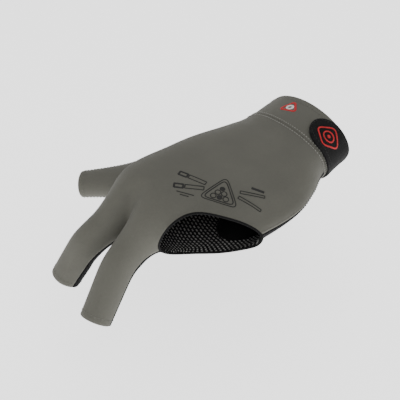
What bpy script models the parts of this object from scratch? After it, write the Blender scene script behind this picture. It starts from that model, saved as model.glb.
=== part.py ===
"""Three-finger billiard glove for the left hand, in the shape it takes when it is worn.

The glove is an open-fingered sleeve of stretch cloth for the thumb, index and middle finger,
with a gap for the ring and little fingers. Units are metres. The origin is the centre of the
cuff's mouth. +X runs from the wrist to the fingers, +Y to the little finger's side and +Z out
of the back of the hand.
"""

import math

import bmesh
import bpy
import numpy as np
from mathutils import Vector
from mathutils.bvhtree import BVHTree

# Cloth and clearances
CLOTH = 0.0012
CUFF_CLOTH = 0.0018
STRAP_CLOTH = 0.0016
PATCH_CLOTH = 0.0008
BINDING_DIAMETER = 0.0016
GAP = 0.0003
BINDING_REACH = BINDING_DIAMETER / 2 + GAP * 1.5
BINDING_EASING = 6

# Cuff and hand
CUFF_LENGTH = 0.0255
WRIST_BREADTH = 0.0686
WRIST_DEPTH = 0.0437
HAND_LENGTH = 0.0985
PALM_BREADTH = 0.091
PALM_DEPTH = 0.031

# Fingers: from the knuckle to the bend, from the bend to the open end, breadth and depth
INDEX_ROOT_LENGTH = 0.044
INDEX_END_LENGTH = 0.028
MIDDLE_ROOT_LENGTH = 0.041
MIDDLE_END_LENGTH = 0.032
FINGER_BREADTH = 0.0188
FINGER_DEPTH = 0.0190
THUMB_ROOT_LENGTH = 0.046
THUMB_END_LENGTH = 0.040
THUMB_BREADTH = 0.021
THUMB_DEPTH = 0.0185

# Cross-sections of the sleeve from the cuff's mouth to the knuckles.
# part: 0 on the cuff, 1 on the hand; along: share of that part's length; spread and slim:
# 0 at the wrist's breadth and depth, 1 at the palm's; side and rise: the centre's place as a
# share of the palm's breadth and depth; back: the share of the depth above the centre;
# roll: degrees that the little finger's side is dropped; yaw: degrees that the section is
# turned, its thumb side towards the fingers; lean: degrees that its back leans to the fingers;
# square: 2 for an ellipse, more for squarer shoulders.
SECTIONS = [
    # part, along, spread, slim, side, rise, back, roll, yaw, lean, square
    (0, 0.00, 0.00, 0.00, 0.000, 0.00, 0.50, -5.3, -6.5, 12.6, 1.95),
    (0, 0.50, 0.00, 0.06, 0.005, -0.02, 0.50, -6.0, -7.5, 15.0, 2.05),
    (1, 0.00, 0.00, 0.19, 0.015, -0.05, 0.50, -6.4, -8.0, 17.0, 2.2),
    (1, 0.24, 0.45, 0.50, 0.055, 0.02, 0.50, -1.0, -2.0, 9.0, 2.2),
    (1, 0.46, 0.90, 0.85, 0.065, 0.05, 0.52, 4.0, 1.0, 2.0, 2.2),
    (1, 0.67, 1.00, 1.00, 0.055, 0.05, 0.55, 6.0, 0.0, 0.0, 2.2),
    (1, 0.88, 0.93, 0.98, 0.038, 0.06, 0.55, 8.0, 0.0, 0.0, 2.2),
    (1, 1.00, 0.86, 0.92, 0.030, 0.04, 0.55, 9.0, 0.0, 0.0, 2.2),
    (1, 1.14, 0.80, 0.85, 0.026, -0.06, 0.55, 9.0, 0.0, 0.0, 2.2),
    (1, 1.30, 0.76, 0.75, 0.026, -0.25, 0.55, 9.0, 0.0, 0.0, 2.2),
]

# Columns of the cage round the sleeve, from the thumb's side over the back to the little
# finger's side and home across the palm: degrees at the wrist and where the column ends,
# and the share of the hand's length at which it ends.
COLUMNS = [
    # wrist, end, reach
    (187, 168, 1.09),
    (164, 152, 1.10),
    (146, 138, 1.11),
    (130, 128, 1.11),
    (117, 118, 1.11),
    (106, 108, 1.11),
    (96, 98, 1.12),
    (84, 89, 1.15),
    (70, 80, 1.17),
    (54, 73, 1.04),
    (36, 57, 0.925),
    (17, 39, 0.84),
    (-8, 16, 0.785),
    (-34, -33, 0.765),
    (-52, -46, 0.85),
    (-68, -62, 0.95),
    (-82, -78, 1.04),
    (-94, -90, 1.05),
    (-105, -100, 1.06),
    (-115, -110, 1.07),
    (-126, -122, 1.07),
    (-138, -133, 1.07),
    (-150, -146, 1.07),
    (-165, -164, 1.08),
]
HAND_ROWS = 8
CUFF_ROWS = 3
SIDE_COLUMN = 12
# The palm's free edge, from the little finger's side: share of the hand's length, and degrees
PALM_EDGE = [(0.79, -13), (0.845, -33), (0.95, -48.5), (1.055, -70.5)]

# The wrist strap: its ends in degrees round the cuff, and the share of its length that its
# rounded end takes
STRAP_ENDS = (60, -112)
STRAP_ROUNDING = 0.17
STRAP_MARGIN = 0.0012
# The palm's patch: its centre's share of the hand's length and its degrees, then its length
# and breadth
PATCH_CENTRE = (0.62, -62)
PATCH_LENGTH = 0.046
PATCH_BREADTH = 0.032

# Degrees round a finger for its eight columns, from the thumb's side over the back, and the
# degrees that each finger's seams are turned
FINGER_COLUMNS = (200, 145, 90, 35, -20, -57, -90, -123)
INDEX_TURN = 4
MIDDLE_TURN = 8

# Where the knuckles lie: shares of the hand's length, palm's breadth and palm's depth
INDEX_KNUCKLE = (1.00, -0.243, 0.10)
MIDDLE_KNUCKLE = (1.04, -0.018, 0.17)
# Degrees: how far a finger is spread to the little finger's side, then how far it points
# down, before and after its bend
INDEX_AIM = ((-8, 22), (-28, 57))
MIDDLE_AIM = ((-2, 30), (12, 45))
# Rings along a finger: share of the way, where 1 is the bend and 2 the open end, and the
# ring's breadth and depth as shares of the finger's
FINGER_RINGS = [
    # way, breadth, depth
    (0.62, 1.10, 1.12),
    (0.77, 1.05, 1.07),
    (0.91, 1.02, 1.04),
    (1.06, 1.02, 1.03),
    (1.24, 1.00, 1.00),
    (1.62, 0.97, 0.97),
    (2.00, 0.95, 0.94),
]

# The thumb's hole in the sleeve: cage rows of the hand and columns that it spans
THUMB_ROWS = (2, 6)
THUMB_COLUMN = 20
# The thumb leaves the palm here: shares of the hand's length, palm's breadth and palm's depth
THUMB_KNUCKLE = (0.40, -0.30, -0.50)
# Degrees: how far it is spread, then how far it points down, at its root and at its end
THUMB_AIM = ((-42, 8), (-51, 10))
THUMB_RINGS = [
    # way, breadth, depth
    (0.50, 1.98, 1.22),
    (0.88, 1.66, 1.28),
    (1.18, 1.28, 1.10),
    (1.46, 1.10, 1.00),
    (1.73, 1.00, 0.93),
    (2.00, 0.94, 0.86),
]


def lerp(start, end, share):
    """The value a share of the way from start to end."""
    return start + (end - start) * share


def smooth(x, stations, values):
    """A smooth curve through the values at the stations, read at x (cubic Hermite)."""
    slopes = np.gradient(values, stations)
    at = np.clip(x, stations[0], stations[-1])
    n = np.clip(np.searchsorted(stations, at, side="right") - 1, 0, len(stations) - 2)
    step = stations[n + 1] - stations[n]
    t = (at - stations[n]) / step
    return (
        (1 + 2 * t) * (1 - t) ** 2 * values[n]
        + t * (1 - t) ** 2 * step * slopes[n]
        + t * t * (3 - 2 * t) * values[n + 1]
        - t * t * (1 - t) * step * slopes[n + 1]
    )


def rounded(value, power):
    """The value with its size raised to a power and its sign kept."""
    return np.sign(value) * np.abs(value) ** power


def hand_point(x, degrees):
    """Points of the sleeve's outer face at stations x, at those degrees round it."""
    rows = np.array(SECTIONS)
    on_hand = rows[:, 0] > 0
    stations = np.where(
        on_hand, CUFF_LENGTH + rows[:, 1] * HAND_LENGTH, rows[:, 1] * CUFF_LENGTH
    )
    spread, slim, side, rise, back, roll, yaw, lean, square = (
        smooth(x, stations, rows[:, n]) for n in range(2, 11)
    )
    half = lerp(WRIST_BREADTH, PALM_BREADTH, spread) / 2
    depth = lerp(WRIST_DEPTH, PALM_DEPTH, slim)
    turn = np.radians(degrees)
    across = half * rounded(np.cos(turn), 2 / square)
    rising = rounded(np.sin(turn), 2 / square)
    up = depth * rising * np.where(rising > 0, back, 1 - back)
    drop = -np.radians(roll)
    y = side * PALM_BREADTH + across * np.cos(drop) - up * np.sin(drop)
    z = rise * PALM_DEPTH + across * np.sin(drop) + up * np.cos(drop)
    x = x - across * np.tan(np.radians(yaw)) + up * np.tan(np.radians(lean))
    return np.stack(np.broadcast_arrays(x, y, z), axis=-1)


def share_point(shares):
    """A place given as shares of the hand's length, palm's breadth and palm's depth."""
    along, side, rise = shares
    return np.array(
        (CUFF_LENGTH + along * HAND_LENGTH, side * PALM_BREADTH, rise * PALM_DEPTH)
    )


def tube_path(start, aims, lengths, way):
    """Centre and the along, side and back directions of a finger at a share of its way.

    The finger leaves start on the first aim and turns to the second one about way 1.
    """
    ways = np.linspace(0, 2, 201)
    t = np.clip((ways - 0.78) / 0.44, 0, 1)
    bend = t * t * (3 - 2 * t)
    yaw = np.radians(lerp(aims[0][0], aims[1][0], bend))
    down = np.radians(lerp(aims[0][1], aims[1][1], bend))
    along = np.stack(
        (np.cos(down) * np.cos(yaw), np.cos(down) * np.sin(yaw), -np.sin(down)), axis=-1
    )
    speed = np.where(ways < 1, lengths[0], lengths[1])[:, None]
    moved = np.cumsum(along * speed, axis=0) * (ways[1] - ways[0])
    n = min(int(round(way * 100)), len(ways) - 1)
    side = np.array((-math.sin(yaw[n]), math.cos(yaw[n]), 0.0))
    return start + moved[n], along[n], side, np.cross(along[n], side)


def through(points):
    """Control points whose closed cubic B-spline passes through these points."""
    count = len(points)
    basis = np.eye(count) * 4 + np.roll(np.eye(count), 1, 0) + np.roll(np.eye(count), -1, 0)
    return np.linalg.solve(basis / 6, points)


def oval(centre, side, back, breadth, depth, degrees):
    """Points round an oval section of a finger."""
    turn = np.radians(np.array(degrees, float))[:, None]
    return centre + side * np.cos(turn) * breadth / 2 + back * np.sin(turn) * depth / 2


class Cage:
    """A coarse cage of rings. Each face carries the number of the cloth it belongs to."""

    def __init__(self):
        self.mesh = bmesh.new()

    def corners(self, points):
        return [self.mesh.verts.new(point) for point in points]

    def face(self, corners, cloth):
        self.mesh.faces.new(corners).material_index = cloth

    def band(self, ring, following, cloths, closed=True):
        """A row of faces from one ring to the next. A cloth of None leaves a gap."""
        count = len(ring)
        for n in range(count if closed else count - 1):
            after = (n + 1) % count
            if cloths[n] is not None:
                self.face(
                    (ring[n], following[n], following[after], ring[after]), cloths[n]
                )


BACK, PALM, THUMB, CUFF = range(4)
CLOTH_NAMES = ("back_panel", "palm_panel", "thumb_back", "cuff_band")
CLOTH_THICKNESSES = (CLOTH, CLOTH, CLOTH, CUFF_CLOTH)
GRAY = (0.127, 0.125, 0.104)
BLACK = (0.012, 0.012, 0.013)
CLOTH_COLOURS = (GRAY, BLACK, GRAY, GRAY)


def hand_rings(cage):
    """The rings of the cuff and the hand, mouth first."""
    wrist, end, reach = (np.array(column, float) for column in zip(*COLUMNS))
    rings = []
    for row in range(CUFF_ROWS):
        x = np.full(len(wrist), CUFF_LENGTH * row / CUFF_ROWS)
        rings.append(cage.corners(through(hand_point(x, wrist))))
    for row in range(HAND_ROWS + 1):
        share = row / HAND_ROWS
        x = CUFF_LENGTH + HAND_LENGTH * reach * share
        rings.append(cage.corners(through(hand_point(x, lerp(wrist, end, share)))))
    return rings


def finger_rings(knuckle, aims, root_length, end_length, turned):
    """Points of each ring along a finger."""
    rings = []
    for way, breadth, depth in FINGER_RINGS:
        centre, _, side, back = tube_path(
            share_point(knuckle), aims, (root_length, end_length), way
        )
        rings.append(
            through(
                oval(
                    centre,
                    side,
                    back,
                    FINGER_BREADTH * breadth,
                    FINGER_DEPTH * depth,
                    np.array(FINGER_COLUMNS) + turned,
                )
            )
        )
    return rings


def thumb_rings(count):
    """Points of each ring along the thumb, starting at its column nearest the wrist and back."""
    degrees = 150 - 360 * np.arange(count) / count
    rings = []
    for way, breadth, depth in THUMB_RINGS:
        centre, _, side, back = tube_path(
            share_point(THUMB_KNUCKLE), THUMB_AIM, (THUMB_ROOT_LENGTH, THUMB_END_LENGTH), way
        )
        rings.append(
            through(
                oval(
                    centre,
                    side,
                    back,
                    THUMB_BREADTH * breadth,
                    THUMB_DEPTH * depth,
                    degrees,
                )
            )
        )
    return rings


def glove_cage():
    """The whole glove as one coarse cage, with its openings left out."""
    cage = Cage()
    rings = hand_rings(cage)
    around = len(COLUMNS)
    first_hand = CUFF_ROWS
    hole_rows = range(first_hand + THUMB_ROWS[0], first_hand + THUMB_ROWS[1])
    for row in range(len(rings) - 1):
        cloths = [
            CUFF if row < first_hand else BACK if n < SIDE_COLUMN else PALM
            for n in range(around)
        ]
        if row in hole_rows:
            cloths[THUMB_COLUMN:] = [None] * (around - THUMB_COLUMN)
        cage.band(rings[row], rings[row + 1], cloths)

    knuckles = rings[-1]
    index = finger_rings(
        INDEX_KNUCKLE, INDEX_AIM, INDEX_ROOT_LENGTH, INDEX_END_LENGTH, INDEX_TURN
    )
    middle = finger_rings(
        MIDDLE_KNUCKLE, MIDDLE_AIM, MIDDLE_ROOT_LENGTH, MIDDLE_END_LENGTH, MIDDLE_TURN
    )
    web = cage.corners([(index[0][4] + middle[0][0]) / 2])
    index_base = cage.corners(index[0][:4]) + web + cage.corners(index[0][5:])
    middle_base = web + cage.corners(middle[0][1:])

    # The palm's free edge, from the little finger's side to the middle finger
    reach, degrees = (np.array(column) for column in zip(*PALM_EDGE))
    flap = cage.corners(hand_point(CUFF_LENGTH + HAND_LENGTH * reach, degrees))

    base_row = index_base[:4] + middle_base[:5]
    cage.band(knuckles[:9], base_row, [BACK] * 8, closed=False)
    palm_row = flap + middle_base[4:] + web + index_base[5:] + index_base[:1]
    cage.band(
        knuckles[SIDE_COLUMN:] + knuckles[:1],
        palm_row,
        [PALM] * 12,
        closed=False,
    )
    dorsal = [BACK] * 4 + [PALM] * 4
    for base, points in ((index_base, index), (middle_base, middle)):
        ring = base
        for ring_points in points[1:]:
            following = cage.corners(ring_points)
            cage.band(ring, following, dorsal)
            ring = following

    near, far = hole_rows[0], hole_rows[-1] + 1
    columns = [0] + list(range(around - 1, THUMB_COLUMN - 1, -1))
    hole = [rings[row][0] for row in range(near, far)]
    hole += [rings[far][n] for n in columns[:-1]]
    hole += [rings[row][THUMB_COLUMN] for row in range(far, near, -1)]
    hole += [rings[near][n] for n in columns[:0:-1]]
    ring = hole
    for number, ring_points in enumerate(thumb_rings(len(hole))):
        following = cage.corners(ring_points)
        half = len(hole) // 2
        gray = [THUMB if n < half + 1 else PALM for n in range(len(hole))]
        cage.band(ring, following, [PALM] * len(hole) if number == 0 else gray)
        ring = following
    return cage.mesh


def evaluated_mesh(obj):
    """A bmesh of the object with its modifiers applied."""
    graph = bpy.context.evaluated_depsgraph_get()
    mesh = bmesh.new()
    mesh.from_mesh(obj.evaluated_get(graph).to_mesh())
    mesh.normal_update()
    return mesh


def new_object(name, mesh, collection, colour, roughness):
    """A named object from a bmesh, with a material of its own."""
    data = bpy.data.meshes.new(name)
    mesh.to_mesh(data)
    mesh.free()
    for face in data.polygons:
        face.material_index = 0
        face.use_smooth = True
    obj = bpy.data.objects.new(name, data)
    collection.objects.link(obj)
    material = bpy.data.materials.new(name)
    material.use_nodes = True
    shader = material.node_tree.nodes["Principled BSDF"]
    shader.inputs["Base Color"].default_value = (*colour, 1)
    shader.inputs["Roughness"].default_value = roughness
    data.materials.append(material)
    return obj


def cloth_shell(sleeve, cloth, thickness):
    """One cloth of the sleeve as a closed shell, kept clear of its neighbours at the seams."""
    mesh = sleeve.copy()
    inward = mesh.verts.layers.float_vector.new("inward")
    for vert in mesh.verts:
        vert[inward] = -vert.normal
    seam = [
        vert
        for vert in mesh.verts
        if len({face.material_index == cloth for face in vert.link_faces}) == 2
    ]
    others = [face for face in mesh.faces if face.material_index != cloth]
    bmesh.ops.delete(mesh, geom=others, context="FACES")
    pulls = []
    for vert in (vert for vert in seam if vert.is_valid):
        pull = sum((face.calc_center_median() - vert.co for face in vert.link_faces), Vector())
        pulls.append((vert, pull - vert[inward] * pull.dot(vert[inward])))
    for vert, pull in pulls:
        vert.co += pull.normalized() * GAP * 0.6
    made = bmesh.ops.extrude_face_region(mesh, geom=mesh.faces[:], use_keep_orig=True)
    for vert in made["geom"]:
        if isinstance(vert, bmesh.types.BMVert):
            vert.co += vert[inward] * thickness
    bmesh.ops.recalc_face_normals(mesh, faces=mesh.faces[:])
    return mesh


def grid_shell(points, outward, thickness):
    """A closed shell from a grid of points, thickened along the outward directions."""
    mesh = bmesh.new()
    layer = mesh.verts.layers.float_vector.new("outward")
    rows = []
    for line, directions in zip(points, outward):
        rows.append([mesh.verts.new(point) for point in line])
        for vert, direction in zip(rows[-1], directions):
            vert[layer] = direction
    for row, following in zip(rows, rows[1:]):
        for n in range(len(row) - 1):
            mesh.faces.new((row[n], row[n + 1], following[n + 1], following[n]))
    made = bmesh.ops.extrude_face_region(mesh, geom=mesh.faces[:], use_keep_orig=True)
    for vert in made["geom"]:
        if isinstance(vert, bmesh.types.BMVert):
            vert.co += vert[layer] * thickness
    bmesh.ops.recalc_face_normals(mesh, faces=mesh.faces[:])
    return mesh


def hand_normal(x, degrees):
    """Outward directions of the sleeve at stations x, at those degrees round it."""
    along = hand_point(x + 0.0005, degrees) - hand_point(x - 0.0005, degrees)
    round_it = hand_point(x, degrees + 0.5) - hand_point(x, degrees - 0.5)
    normal = np.cross(round_it, along)
    return normal / np.linalg.norm(normal, axis=-1, keepdims=True)


def strap_mesh():
    """The wrist strap: a band over the cuff with one rounded end, on the back of the wrist."""
    share = np.linspace(0, 1, 35)[:, None]
    degrees = lerp(STRAP_ENDS[0], STRAP_ENDS[1], share)
    rounding = np.clip(1 - share / STRAP_ROUNDING, 0, 0.97)
    half = (CUFF_LENGTH / 2 - STRAP_MARGIN) * np.sqrt(1 - rounding**2.4)
    x = CUFF_LENGTH / 2 + half * np.linspace(-1, 1, 9)
    x, degrees = np.broadcast_arrays(x, degrees)
    outward = hand_normal(x, degrees)
    points = hand_point(x, degrees) + outward * GAP * 1.8
    return grid_shell(points, outward, STRAP_CLOTH)


def patch_mesh(palm):
    """The palm's patch: a thin oval inside the palm, laid against its inner face."""
    tree = BVHTree.FromBMesh(palm)
    across = np.linspace(-1, 1, 13)
    along = np.linspace(-1, 1, 15)
    u, v = np.meshgrid(along, across, indexing="ij")
    round_u = u * np.sqrt(1 - v**2 / 2)
    round_v = v * np.sqrt(1 - u**2 / 2)
    half_turn = math.degrees(PATCH_BREADTH / PALM_BREADTH)
    x = CUFF_LENGTH + PATCH_CENTRE[0] * HAND_LENGTH + round_u * PATCH_LENGTH / 2
    degrees = PATCH_CENTRE[1] + round_v * half_turn
    inward = -hand_normal(x, degrees)
    inside = hand_point(x, degrees) + inward * 0.008
    points = np.empty_like(inside)
    for place in np.ndindex(u.shape):
        hit = tree.ray_cast(Vector(inside[place]), Vector(-inward[place]))
        points[place] = np.array(hit[0]) + inward[place] * GAP * 1.4
    return grid_shell(points, inward, PATCH_CLOTH)


def rim_loop(sleeve):
    """The opening's rim: its points in order, and the outward way in the cloth at each."""
    start = min(
        (edge for edge in sleeve.edges if edge.is_boundary),
        key=lambda edge: (edge.verts[0].co - opening_corner()).length,
    )
    loop = [start.verts[0]]
    edge = start
    while True:
        vert = edge.other_vert(loop[-1])
        if vert == loop[0]:
            break
        loop.append(vert)
        edge = next(other for other in vert.link_edges if other.is_boundary and other != edge)
    points = np.array([vert.co for vert in loop])
    away = []
    for vert in loop:
        pull = sum((vert.co - face.calc_center_median() for face in vert.link_faces), Vector())
        pull -= vert.normal * pull.dot(vert.normal)
        away.append(pull.normalized() - vert.normal * (CLOTH / 2) / BINDING_REACH)
    return points, np.array(away)


def opening_corner():
    """A place near the little finger's end of the opening."""
    _, degrees, reach = COLUMNS[SIDE_COLUMN]
    return Vector(hand_point(np.array(CUFF_LENGTH + HAND_LENGTH * reach), degrees))


def midpoints(loop):
    """A closed loop of points with one more point between each two, on a smooth curve."""
    ahead, behind = np.roll(loop, -1, 0), np.roll(loop, 1, 0)
    between = (9 * (loop + ahead) - behind - np.roll(loop, -2, 0)) / 16
    return np.stack((loop, between), axis=1).reshape(-1, 3)


def binding_mesh(sleeve, cloths):
    """A round cord of tape along the opening's rim, just off the cloth's edge."""
    points, away = rim_loop(sleeve)
    centres = midpoints(points + away * BINDING_REACH)
    trees = [BVHTree.FromBMesh(cloth) for cloth in cloths]
    for _ in range(BINDING_EASING):
        centres = (np.roll(centres, 1, 0) + 4 * centres + np.roll(centres, -1, 0)) / 6
        for tree in trees:
            for n, centre in enumerate(centres):
                near = np.array(tree.find_nearest(Vector(centre))[0])
                clear = centre - near
                short = BINDING_REACH - np.linalg.norm(clear)
                if short > 0:
                    centres[n] += clear / np.linalg.norm(clear) * short
    curve = bpy.data.curves.new("binding_guide", "CURVE")
    curve.dimensions = "3D"
    curve.bevel_depth = BINDING_DIAMETER / 2
    curve.bevel_resolution = 2
    line = curve.splines.new("POLY")
    line.points.add(len(centres) - 1)
    line.points.foreach_set("co", np.c_[centres, np.ones(len(centres))].ravel())
    line.use_cyclic_u = True
    guide = bpy.data.objects.new("binding_guide", curve)
    bpy.context.scene.collection.objects.link(guide)
    mesh = evaluated_mesh(guide)
    bpy.data.objects.remove(guide)
    bmesh.ops.remove_doubles(mesh, verts=mesh.verts[:], dist=0.00001)
    bmesh.ops.recalc_face_normals(mesh, faces=mesh.faces[:])
    return mesh


def main():
    for obj in list(bpy.data.objects):
        bpy.data.objects.remove(obj)
    collection = bpy.data.collections.new("billiard_glove")
    bpy.context.scene.collection.children.link(collection)

    cage = bpy.data.meshes.new("cage")
    glove_cage().to_mesh(cage)
    form = bpy.data.objects.new("cage", cage)
    bpy.context.scene.collection.objects.link(form)
    subdivision = form.modifiers.new("Subdivision", "SUBSURF")
    subdivision.levels = subdivision.render_levels = 1
    sleeve = evaluated_mesh(form)
    bpy.data.objects.remove(form)

    shells = [
        cloth_shell(sleeve, cloth, thickness)
        for cloth, thickness in enumerate(CLOTH_THICKNESSES)
    ]
    patch = patch_mesh(shells[PALM])
    binding = binding_mesh(sleeve, shells[:THUMB])
    for name, shell, colour in zip(CLOTH_NAMES, shells, CLOTH_COLOURS):
        new_object(name, shell, collection, colour, 0.85)
    new_object("palm_patch", patch, collection, BLACK, 0.7)
    new_object("wrist_strap", strap_mesh(), collection, BLACK, 0.6)
    new_object("opening_binding", binding, collection, BLACK, 0.75)


if __name__ == "__main__":
    main()
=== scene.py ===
"""Billiard glove for the left hand, dressed in its cloth, stitches and trim.

The sleeve is a cage of rings under Subdivision Surface, cut into its cloths and given walls by
whole-array steps. Straps, stitches and prints are profiles carried along paths that lie on the
same surface. Units are metres; +X runs from the wrist to the fingers, +Y to the little
finger's side and +Z out of the back of the hand.
"""

import math

import bpy
import numpy as np
from mathutils import Matrix, Vector


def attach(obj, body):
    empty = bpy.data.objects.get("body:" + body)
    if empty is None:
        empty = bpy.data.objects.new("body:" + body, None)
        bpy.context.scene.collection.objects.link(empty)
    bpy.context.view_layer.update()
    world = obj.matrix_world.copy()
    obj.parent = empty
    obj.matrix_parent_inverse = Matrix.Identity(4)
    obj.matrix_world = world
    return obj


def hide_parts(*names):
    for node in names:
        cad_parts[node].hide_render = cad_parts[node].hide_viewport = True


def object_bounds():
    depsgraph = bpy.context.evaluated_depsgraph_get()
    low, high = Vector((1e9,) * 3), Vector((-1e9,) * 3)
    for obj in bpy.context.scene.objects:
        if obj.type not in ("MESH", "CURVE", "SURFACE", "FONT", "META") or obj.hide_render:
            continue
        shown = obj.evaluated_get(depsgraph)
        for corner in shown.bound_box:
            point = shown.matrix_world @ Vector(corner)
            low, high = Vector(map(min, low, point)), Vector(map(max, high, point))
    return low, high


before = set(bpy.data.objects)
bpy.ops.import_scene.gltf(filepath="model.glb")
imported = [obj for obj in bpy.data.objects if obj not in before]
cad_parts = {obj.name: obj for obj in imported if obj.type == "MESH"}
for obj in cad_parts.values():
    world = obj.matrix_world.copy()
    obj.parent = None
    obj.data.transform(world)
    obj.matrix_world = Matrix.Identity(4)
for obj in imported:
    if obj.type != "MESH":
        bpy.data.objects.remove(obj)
cad_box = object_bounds()

# Sizes of the cut, the same as the solids'
CLOTH = 0.0012
CUFF_CLOTH = 0.0018
STRAP_CLOTH = 0.0016
PATCH_CLOTH = 0.0008
GAP = 0.0003
CUFF_LENGTH = 0.0255
WRIST_BREADTH = 0.0686
WRIST_DEPTH = 0.0437
HAND_LENGTH = 0.0985
PALM_BREADTH = 0.091
PALM_DEPTH = 0.031
INDEX_LENGTHS = (0.044, 0.028)
MIDDLE_LENGTHS = (0.041, 0.032)
THUMB_LENGTHS = (0.046, 0.040)
FINGER_BREADTH = 0.0188
FINGER_DEPTH = 0.0190
THUMB_BREADTH = 0.021
THUMB_DEPTH = 0.0185

SECTIONS = np.array([
    # part, along, spread, slim, side, rise, back, roll, yaw, lean, square
    (0, 0.00, 0.00, 0.00, 0.000, 0.00, 0.50, -5.3, -6.5, 12.6, 1.95),
    (0, 0.50, 0.00, 0.06, 0.005, -0.02, 0.50, -6.0, -7.5, 15.0, 2.05),
    (1, 0.00, 0.00, 0.19, 0.015, -0.05, 0.50, -6.4, -8.0, 17.0, 2.2),
    (1, 0.24, 0.45, 0.50, 0.055, 0.02, 0.50, -1.0, -2.0, 9.0, 2.2),
    (1, 0.46, 0.90, 0.85, 0.065, 0.05, 0.52, 4.0, 1.0, 2.0, 2.2),
    (1, 0.67, 1.00, 1.00, 0.055, 0.05, 0.55, 6.0, 0.0, 0.0, 2.2),
    (1, 0.88, 0.93, 0.98, 0.038, 0.06, 0.55, 8.0, 0.0, 0.0, 2.2),
    (1, 1.00, 0.86, 0.92, 0.030, 0.04, 0.55, 9.0, 0.0, 0.0, 2.2),
    (1, 1.14, 0.80, 0.85, 0.026, -0.06, 0.55, 9.0, 0.0, 0.0, 2.2),
    (1, 1.30, 0.76, 0.75, 0.026, -0.25, 0.55, 9.0, 0.0, 0.0, 2.2),
])
COLUMNS = np.array([
    # degrees at the wrist, degrees at the end, share of the hand's length at the end
    (187, 168, 1.09), (164, 152, 1.10), (146, 138, 1.11), (130, 128, 1.11),
    (117, 118, 1.11), (106, 108, 1.11), (96, 98, 1.12), (84, 89, 1.15),
    (70, 80, 1.17), (54, 73, 1.04), (36, 57, 0.925), (17, 39, 0.84),
    (-8, 16, 0.785), (-34, -33, 0.765), (-52, -46, 0.85), (-68, -62, 0.95),
    (-82, -78, 1.04), (-94, -90, 1.05), (-105, -100, 1.06), (-115, -110, 1.07),
    (-126, -122, 1.07), (-138, -133, 1.07), (-150, -146, 1.07), (-165, -164, 1.08),
])
PALM_EDGE = np.array([(0.79, -13), (0.845, -33), (0.95, -48.5), (1.055, -70.5)])
HAND_ROWS = 8
CUFF_ROWS = 3
LAST_ROW = CUFF_ROWS + HAND_ROWS
AROUND = len(COLUMNS)
SIDE_COLUMN = 12
THUMB_ROWS = (2, 6)
THUMB_COLUMN = 20

FINGER_COLUMNS = np.array((200, 145, 90, 35, -20, -57, -90, -123))
INDEX_TURN = 4
MIDDLE_TURN = 8
INDEX_KNUCKLE = (1.00, -0.243, 0.10)
MIDDLE_KNUCKLE = (1.04, -0.018, 0.17)
INDEX_AIM = ((-8, 22), (-28, 57))
MIDDLE_AIM = ((-2, 30), (12, 45))
FINGER_RINGS = np.array([
    # way, breadth, depth
    (0.62, 1.10, 1.12),
    (0.77, 1.05, 1.07),
    (0.91, 1.02, 1.04),
    (1.06, 1.02, 1.03),
    (1.24, 1.00, 1.00),
    (1.62, 0.97, 0.97),
    (2.00, 0.95, 0.94),
])
THUMB_KNUCKLE = (0.40, -0.30, -0.50)
THUMB_AIM = ((-42, 8), (-51, 10))
THUMB_RINGS = np.array([
    # way, breadth, depth
    (0.50, 1.98, 1.22),
    (0.88, 1.66, 1.28),
    (1.18, 1.28, 1.10),
    (1.46, 1.10, 1.00),
    (1.73, 1.00, 0.93),
    (2.00, 0.94, 0.86),
])
BACK, PALM, THUMB, CUFF = range(4)
FINENESS = 3
SEAM_PULL = 0.00020
SEAM_ROUNDING = 0.00022
EDGE_ROUNDING = 0.0005

# Colours, linear
GRAY = (0.118, 0.116, 0.098)
GRAY_THREAD = (0.27, 0.265, 0.24)
BLACK = (0.003, 0.003, 0.0033)
CHARCOAL = (0.012, 0.012, 0.011)
RED = (0.50, 0.014, 0.018)
WHITE = (0.75, 0.75, 0.73)
MESH_OUTSIDE = (0.016, 0.016, 0.017)
# The inner face's pale bars: painted light seen through the mesh's holes
MESH_INSIDE_PAINTED_LIGHT = (0.30, 0.30, 0.29)
STRAP_BLACK = (0.012, 0.012, 0.012)
PATCH_BLACK = (0.004, 0.004, 0.004)
TAPE_BLACK = (0.0035, 0.0035, 0.0037)
QUIET_THREAD = (0.15, 0.148, 0.13)
DARK_THREAD = (0.02, 0.02, 0.021)
STRAP_THREAD = (0.04, 0.04, 0.039)

# The mesh's bars, painted pale on the inner face as light seen through its holes: their turn in
# degrees, step, row and the gap between them
MESH_TURN = 80.0
MESH_STEP = 0.0032
MESH_ROW = 0.0020
MESH_GAP = 0.00064

# Heights off the cuff at which the strap lies and ends
STRAP_LIFT = GAP * 1.8
STRAP_TOP = STRAP_LIFT + STRAP_CLOTH


def lerp(start, end, share):
    """start plus a share of the way to end."""
    return start + (end - start) * share


def smooth(x, stations, values):
    """The cubic Hermite curve through the values at the stations, read at x."""
    slopes = np.gradient(values, stations)
    at = np.clip(x, stations[0], stations[-1])
    n = np.clip(np.searchsorted(stations, at, side="right") - 1, 0, len(stations) - 2)
    step = stations[n + 1] - stations[n]
    t = (at - stations[n]) / step
    return (
        (1 + 2 * t) * (1 - t) ** 2 * values[n]
        + t * (1 - t) ** 2 * step * slopes[n]
        + t * t * (3 - 2 * t) * values[n + 1]
        - t * t * (1 - t) * step * slopes[n + 1]
    )


def unit(vectors):
    """The vectors at length one."""
    return vectors / np.maximum(np.linalg.norm(vectors, axis=-1, keepdims=True), 1e-9)


def across_and_up(ahead, up):
    """Unit sideways and upward directions, both square to a unit direction ahead."""
    side = unit(np.cross(up, ahead))
    return side, np.cross(ahead, side)


def rounded(value, power):
    """The value's size raised to a power, with its sign kept."""
    return np.sign(value) * np.abs(value) ** power


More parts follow.
